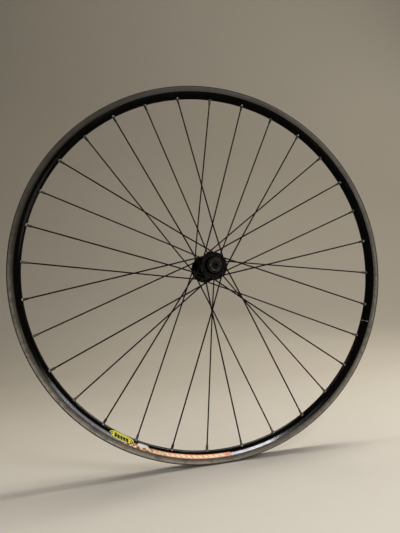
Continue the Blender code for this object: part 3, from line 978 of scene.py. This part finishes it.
def make_hub_shell():
    inner = (FLANGE_CENTRE - FLANGE_THICKNESS / 2) / MM
    outer = (FLANGE_CENTRE + FLANGE_THICKNESS / 2) / MM
    edge = FLANGE_RADIUS / MM
    bore = HUB_BORE_RADIUS / MM
    end = HUB_HALF_WIDTH / MM
    half = rounded(in_mm(
        (11.4, 0, 0), (11.4, 11, 40), (12.7, 23, 30), (12.9, 23.2, 0.1), (12.9, 24.6, 0.1),
        (12.8, 24.8, 0.1), (13.5, inner - 2.2, 3), (15.4, inner, 1.2), (edge - 1.6, inner, 1),
        (edge, inner + 0.8, 0.7), (edge, outer - 0.8, 0.7), (edge - 1.6, outer, 1), (16.7, outer, 0.1),
        (16.5, outer - 0.25, 0.1), (15.4, outer - 0.25, 0.1), (15.2, outer, 0.1), (14.6, outer, 0.5),
        (12.9, outer + 1.4, 1.5), (12.9, end - 0.4, 0.3), (12.5, end, 0.2), (bore, end, 0.15),
        (bore, 34, 0.3), (7.2, 34, 0.3), (7.2, 0, 0)))
    mesh = turned("hub_body", both_sides(half), stations=HUB_STATIONS)
    places = spoke_holes(FLANGE_HOLE_CIRCLE_RADIUS, FLANGE_CENTRE, Vector((0, 1, 0)))
    face = FLANGE_THICKNESS / 2
    sink = FLANGE_HOLE_SINK
    spool = (
        (FLANGE_HOLE_RADIUS + 2 * sink, -face - sink), (FLANGE_HOLE_RADIUS, -face + sink),
        (FLANGE_HOLE_RADIUS, face - sink), (FLANGE_HOLE_RADIUS + 2 * sink, face + sink))
    mesh = carved(mesh, bored(places, spool, FLANGE_HOLE_SIDES))
    add_piece("hub_barrel", mesh, "wheel", ("hub",), "hub_shell")


def race_corners(degrees):
    """Corners on the race's arc round the ball's centre, at angles from straight out from the axle."""
    middle = Vector((BALL_CIRCLE_RADIUS, BALL_PLANE))
    return [(middle + Vector((cos(radians(a)), sin(radians(a)))) * RACE_RADIUS, 0) for a in degrees]


def cup_loop():
    outside = HUB_BORE_RADIUS / MM - 0.1
    return rounded([
        *in_mm((6.6, 34.3, 0.2), (outside, 34.3, 0.4), (outside, 39.7, 0.3), (10.6, 39.7, 0.2)),
        *race_corners(range(20, -71, -6)),
        *in_mm((6.6, 35.3, 0.1)),
    ], closed=True)


def cone_loop():
    bore = NUT_BORE_RADIUS / MM
    return rounded([
        *in_mm((bore, 36, 0.1), (5.4, 36, 0.2)),
        *race_corners(range(200, 114, -6)),
        *in_mm((CONE_RADIUS / MM, 40.7, 0.3), (CONE_RADIUS / MM, 45.4, 0.4), (bore, 45.4, 0.2)),
    ], closed=True)


def cone_shape(point, angle):
    """Two wrench flats at the cone's outer end."""
    if point.y < CONE_FLATS_START:
        return point
    return Vector((min(point.x, polygon_radius(CONE_ACROSS_FLATS / 2, 2, angle)), point.y))


def seal_loop():
    inside = CONE_RADIUS / MM + 0.1
    return rounded(in_mm(
        (inside, 41.2, 0.2), (9, 41.2, 0.3), (9, 42.4, 0.1), (8.6, 42.7, 0.1), (8.6, 43, 0.1),
        (9, 43.3, 0.1), (9, 45, 0.4), (10.3, 45.1, 0.2), (10.2, 45.5, 0.2), (9.5, 46.1, 0.4),
        (inside + 0.5, 46.1, 0.3), (inside, 45.6, 0.2)), closed=True)


def dust_cap_loop():
    skirt = HUB_BORE_RADIUS / MM - 0.1
    lip = 12.3
    return rounded(in_mm(
        (9.4, 43.6, 0.2), (skirt - 0.8, 43.6, 0.5), (skirt - 0.8, 40.1, 0.1), (skirt, 40.1, 0.2),
        (skirt, 43.2, 0.1), (lip, 43.2, 0.2), (lip, 44.2, 0.5), (lip - 0.6, 44.8, 0.5),
        (10.9, 44.8, 0.3), (10.6, 44.5, 0.3), (9.7, 44.5, 0.2), (9.4, 44.2, 0.2)), closed=True)


def lock_washer_loop():
    bore = NUT_BORE_RADIUS / MM
    outside = CONE_RADIUS / MM - 0.1
    return rounded(in_mm(
        (bore, 45.7, 0.1), (outside, 45.7, 0.15), (outside, 46.6, 0.15), (bore, 46.6, 0.1)), closed=True)


def keyway_side(angle):
    """Sideways distance from the middle of the axle's keyway, which is cut along its top."""
    return abs(sin(angle)) * AXLE_RADIUS if cos(angle) > 0 else AXLE_RADIUS


def lock_washer_shape(point, angle):
    """A key on the bore that reaches into the axle's keyway."""
    on_bore = point.x < NUT_BORE_RADIUS + 0.2 * MM
    if on_bore and keyway_side(angle) < KEYWAY_HALF_WIDTH - 0.1 * MM:
        return Vector((KEYWAY_RADIUS + 0.1 * MM, point.y))
    return point


def locknut_loop():
    bore = NUT_BORE_RADIUS / MM
    corner = LOCKNUT_ACROSS_FLATS / MM / cos(pi / 6) / 2
    face = DROPOUT_FACE / MM
    inner = LOCKNUT_INNER_FACE / MM
    return rounded(in_mm(
        (bore, inner, 0), (8, inner, 0), (corner, inner + 0.05, 0), (corner, 47.6, 0), (corner, 48.4, 0),
        (corner, 49.3, 0), (8.3, face, 0), (7.4, face, 0), (6.4, face, 0), (5.6, face, 0),
        (5.3, face - 0.1, 0), (bore, face - 0.5, 0), (bore, 48, 0)), closed=True)


def locknut_shape(point, angle):
    """Hexagon sides chamfered at both ends, and serrations on the face that grips the fork end."""
    room = min(point.y - LOCKNUT_INNER_FACE, DROPOUT_FACE - point.y)
    hexagon = polygon_radius(LOCKNUT_ACROSS_FLATS / 2, 6, angle)
    chamfer = LOCKNUT_ACROSS_FLATS / 2 + 0.1 * MM + 1.7 * room
    radius = min(point.x, hexagon, chamfer)
    y = point.y
    if y > DROPOUT_FACE - 0.01 * MM and SERRATED_FROM <= radius < SERRATED_TO:
        tooth = abs((angle * SERRATIONS / TURN) % 1 - 0.5) * 2
        y -= SERRATION_DEPTH * tooth
    return Vector((radius, y))


def ball_mesh(place):
    """One bearing ball."""
    rings = []
    for i in range(1, BALL_LEVELS):
        tilt = pi * i / BALL_LEVELS
        rings.append([
            place + BALL_RADIUS * upright(sin(tilt), angle, cos(tilt))
            for angle in angles(2 * BALL_LEVELS)])
    return skin("ball", rings)


def cage_mesh():
    """A pressed ring with a bead of metal round each of its balls."""
    section = [Vector((cos(angle), sin(angle))) for angle in angles(12)]
    middle = Vector((BALL_CIRCLE_RADIUS, BALL_PLANE))

    def ring_point(point, angle):
        near_ball = abs((angle * BALL_COUNT / TURN) % 1 - 0.5)
        swell = 1 + 0.5 * max(0, 1 - near_ball / 0.4)
        return middle + Vector((point.x * CAGE_WIRE_RADIUS, point.y * CAGE_WIRE_RADIUS * swell))

    ring = turned("ring", section, ring_point, 16 * BALL_COUNT)
    balls = [
        ball_mesh(on_wheel(BALL_CIRCLE_RADIUS, (index + 0.5) * TURN / BALL_COUNT, BALL_PLANE))
        for index in range(BALL_COUNT)
    ]
    return smooth(joined("cage", [ring, *balls]))


def add_at_both_ends(name, mesh, body, slot, look, node):
    """Add a piece made on the far side, and the same turned round for the near one."""
    for side_name, side in SIDES.items():
        placed = mesh.copy()
        if side == NEAR:
            placed.transform(FACE_ROUND)
        add_piece(
            f"{name}_{side_name}", placed, body or f"ball_cage_{side_name}", (look,),
            f"{node}_{side_name}")


def make_bearings():
    """The pieces that each end of the hub has once. Each ball cage rides on its own body."""
    still = ("axle_set", "axle_steel", "axle")
    washer = turned("washer", lock_washer_loop(), lock_washer_shape)
    nut = turned("nut", locknut_loop(), locknut_shape, NUT_STATIONS)
    cap = turned("cap", dust_cap_loop())
    add_at_both_ends("race_cup", turned("cup", cup_loop()), "wheel", "bearing_steel", "steel", "bearing_cup")
    add_at_both_ends("dust_cover", cap, "wheel", "dust_cap", "dust_cap", "dust_cap")
    add_at_both_ends("bearing_cone", turned("cone", cone_loop(), cone_shape), *still, "cone")
    add_at_both_ends("rubber_seal", turned("seal", seal_loop()), "axle_set", "seal", "rubber", "cone_seal")
    add_at_both_ends("keyed_washer", washer, *still, "lock_washer")
    add_at_both_ends("hex_nut", nut, *still, "locknut")
    add_at_both_ends("ball_set", cage_mesh(), None, "bearing_steel", "steel", "ball_cage")


def axle_radius(y, angle):
    """Radius of the axle's outside: plain in the middle, threaded with a keyway towards its ends."""
    chamfer = 0.5 * MM
    tip = AXLE_HALF_LENGTH - abs(y)
    radius = AXLE_RADIUS
    if abs(y) > THREAD_START:
        phase = (y / THREAD_PITCH - angle / TURN) % 1
        radius -= THREAD_DEPTH * (1 - abs(2 * phase - 1))
        if keyway_side(angle) < KEYWAY_HALF_WIDTH:
            radius = min(radius, KEYWAY_RADIUS)
    return min(radius, AXLE_RADIUS - chamfer + tip)


def make_axle():
    """A hollow axle, ringed finely enough along its ends to carry a real screw thread."""
    end = AXLE_HALF_LENGTH
    threaded = round((end - THREAD_START) / THREAD_PITCH * THREAD_STEPS)
    far_end = [THREAD_START + (end - THREAD_START) * i / threaded for i in range(threaded + 1)]
    places = [-y for y in reversed(far_end)] + [0] + far_end
    around = angles(SMALL_STATIONS)
    rings = [[on_wheel(axle_radius(y, angle), angle, y) for angle in around] for y in places]
    lead_in = 0.3 * MM
    inside = (
        (AXLE_BORE_RADIUS + lead_in, end), (AXLE_BORE_RADIUS, end - lead_in),
        (AXLE_BORE_RADIUS, lead_in - end), (AXLE_BORE_RADIUS + lead_in, -end))
    rings += [[on_wheel(radius, angle, y) for angle in around] for radius, y in inside]
    mesh = skin("hollow_axle", rings, closed=True)
    add_piece("hollow_axle", mesh, "axle_set", ("axle",), "axle")


# -------- decals


def capsule_reach(along, middle, half, round_end, blunt):
    """Lowest and highest share up the wall of a shape with round ends, at a share along it."""
    to_end = min(along, 1 - along) / round_end
    reach = half * sqrt(max(blunt, 1 - max(0, 1 - to_end) ** 2))
    return middle - reach, middle + reach


def badge_reach(along):
    """An oval capsule that starts on the crown's shoulder and ends short of the brake track."""
    return capsule_reach(along, 0.44, 0.43, 0.4, 0.01)


def stripe_reach(along):
    """A long band in the outer half of the wall, narrower at its start."""
    taper = min(1, 0.6 + along / 0.03)
    return 0.98 - 0.49 * taper, 0.98


def tag_reach(along):
    return capsule_reach(along, 0.45, 0.18, 0.3, 0.05)


def make_decals():
    badge_turn = BADGE_HALF_LENGTH / DECAL_RADIUS
    middle = spoke_angle(BADGE_CENTRE)
    films = (
        ("badge", middle - badge_turn, middle + badge_turn, badge_reach, BADGE_THICKNESS),
        ("stripe", spoke_angle(STRIPE_START), spoke_angle(STRIPE_END), stripe_reach, DECAL_THICKNESS),
        ("tag", spoke_angle(TAG_START), spoke_angle(TAG_END), tag_reach, TAG_THICKNESS))
    for side_name in SIDES:
        for look, start, end, reach, thickness in films:
            make_decal(look, side_name, start, end, reach, thickness)


# -------- stage, lights and camera


CAMERA_PLACE = Vector((-0.1638, -0.6821, -0.0558))
CAMERA_AZIMUTH = radians(12.34)
CAMERA_PITCH = radians(4.81)
CAMERA_ROLL = radians(3.86)
CAMERA_LENS = 28.04
FLOOR_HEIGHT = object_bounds()[0][2] - 0.4 * MM
STAGE_DEPTH = 2.6
STAGE_BEND = 1.6
STAGE_HALF_WIDTH = 9
STAGE_FRONT = -0.8
STAGE_HEIGHT = 4.5
WORLD_LIGHT = 0.03
WORLD_SEEN = 0.3


def make_camera():
    camera = add_object("camera", bpy.data.cameras.new("camera"))
    camera.data.lens = CAMERA_LENS
    camera.data.clip_start = 0.01
    aim = (
        Matrix.Rotation(-CAMERA_AZIMUTH, 4, "Z")
        @ Matrix.Rotation(pi / 2 + CAMERA_PITCH, 4, "X")
        @ Matrix.Rotation(-CAMERA_ROLL, 4, "Z")
    )
    camera.matrix_world = Matrix.Translation(CAMERA_PLACE) @ aim
    bpy.context.scene.camera = camera


def make_stage():
    """A pale floor that sweeps up into a backdrop well behind the wheel, with painted shade that makes it
    darker further back.
    """
    look = Look("stage_paper")
    grain = look.noise(30, 4)
    # Painted shade: the paper's colour darkens further back, so the backdrop looks dimmer than the floor by
    # the wheel.
    painted_shade_away = look.ramp(look.parts()[1] + grain * 0.1, -0.2, 0.7)
    look.finish(
        base_color=look.mix(painted_shade_away, (0.82, 0.79, 0.73), (0.6, 0.56, 0.485)),
        roughness=look.ramp(grain, 0, 1, 0.85, 0.95))
    line = rounded([
        (Vector((STAGE_FRONT, FLOOR_HEIGHT)), 0),
        (Vector((STAGE_DEPTH, FLOOR_HEIGHT)), STAGE_BEND),
        (Vector((STAGE_DEPTH, FLOOR_HEIGHT + STAGE_HEIGHT)), 0)])
    vertices = [(x, y, z) for x in (-STAGE_HALF_WIDTH, STAGE_HALF_WIDTH) for y, z in line]
    count = len(line)
    faces = [(i, i + 1, count + i + 1, count + i) for i in range(count - 1)]
    mesh = bpy.data.meshes.new("stage")
    mesh.from_pydata(vertices, [], faces)
    mesh.shade_smooth()
    mesh.materials.append(look.material)
    stage = add_object("stage", mesh)
    stage.visible_glossy = False


def add_light(name, place, target, size, power, colour, along=(1, 0, 0)):
    """A soft box that shines at a target, with the first of its sizes lying along a direction."""
    light = add_object(name, bpy.data.lights.new(name, "AREA"))
    light.data.shape = "RECTANGLE"
    light.data.size, light.data.size_y = size
    light.data.energy = power
    light.data.color = colour
    back = (Vector(place) - Vector(target)).normalized()
    up = back.cross(Vector(along)).normalized()
    aim = Matrix((up.cross(back), up, back)).transposed().to_4x4()
    light.matrix_world = Matrix.Translation(place) @ aim
    light.visible_camera = False


def make_lights():
    """Narrow keys for the highlights on the rim, soft fronts for the hub, and washes for the stage."""
    warm = (1, 0.94, 0.84)
    cool = (0.95, 0.95, 1)
    low = (0, 0, -0.3)
    key_line = (0.57, 0.162, -0.04)
    tail_line = (0.37, 0.09, -0.425)
    add_light("key", (0.44, -1.426, 1.095), low, (0.62, 0.06), 4.8, cool, key_line)
    add_light("key_tail", (1.035, -1.262, 0.78), (-0.21, 0, -0.22), (0.45, 0.06), 1.2, cool, tail_line)
    add_light("key_haze", (-0.07, -1.57, 1.13), low, (0.4, 0.06), 0.2, cool, key_line)
    add_light("side", (1.0, -0.6, -0.17), (-0.1, 0, 0.1), (0.5, 0.3), 0.19, warm)
    add_light("front", (0.45, -1.3, -0.2), (0, 0, 0), (0.5, 0.5), 1.2, warm)
    add_light("front_low", (0.08, -1.6, -0.22), (0, 0, -0.1), (0.5, 0.16), 10, warm)
    add_light("wash", (1.6, 0.2, 3.6), (1.4, 2.2, 0.1), (4.6, 2.6), 32.5, warm)
    add_light("wash_right", (2.9, 0.9, 1.3), (1.4, 2.4, 0), (2, 2), 10, warm)
    add_light("back", (0.6, 1.5, 0.7), (0, 0, -0.05), (0.9, 0.6), 2.6, warm)
    add_light("floor", (1.1, 0.1, 1.3), (0.7, 0.02, -0.3), (1.2, 0.2), 17, warm)
    add_light("floor_left", (-0.7, 0.2, 0.9), (-0.5, 0.05, -0.3), (0.6, 0.2), 2.5, warm)


def make_world():
    """A room that looks pale past the stage's edges but adds little light of its own."""
    world = bpy.data.worlds.new("studio")
    world.use_nodes = True
    nodes = world.node_tree.nodes
    background = nodes["Background"]
    background.inputs["Color"].default_value = (0.9, 0.84, 0.74, 1)
    seen = nodes.new("ShaderNodeLightPath").outputs["Is Camera Ray"]
    strength = nodes.new("ShaderNodeMapRange")
    strength.inputs["To Min"].default_value = WORLD_LIGHT
    strength.inputs["To Max"].default_value = WORLD_SEEN
    world.node_tree.links.new(seen, strength.inputs["Value"])
    world.node_tree.links.new(strength.outputs["Result"], background.inputs["Strength"])
    bpy.context.scene.world = world


def main():
    make_rim()
    make_sleeve()
    nipple = nipple_mesh()
    eyelet = eyelet_mesh()
    for index in range(SPOKE_COUNT):
        make_spoke(index)
        make_spoke_fittings(index, nipple, eyelet)
    make_hub_shell()
    make_bearings()
    make_axle()
    make_decals()
    make_stage()
    make_lights()
    make_world()
    make_camera()
    bpy.context.scene.view_settings.view_transform = "Standard"


main()
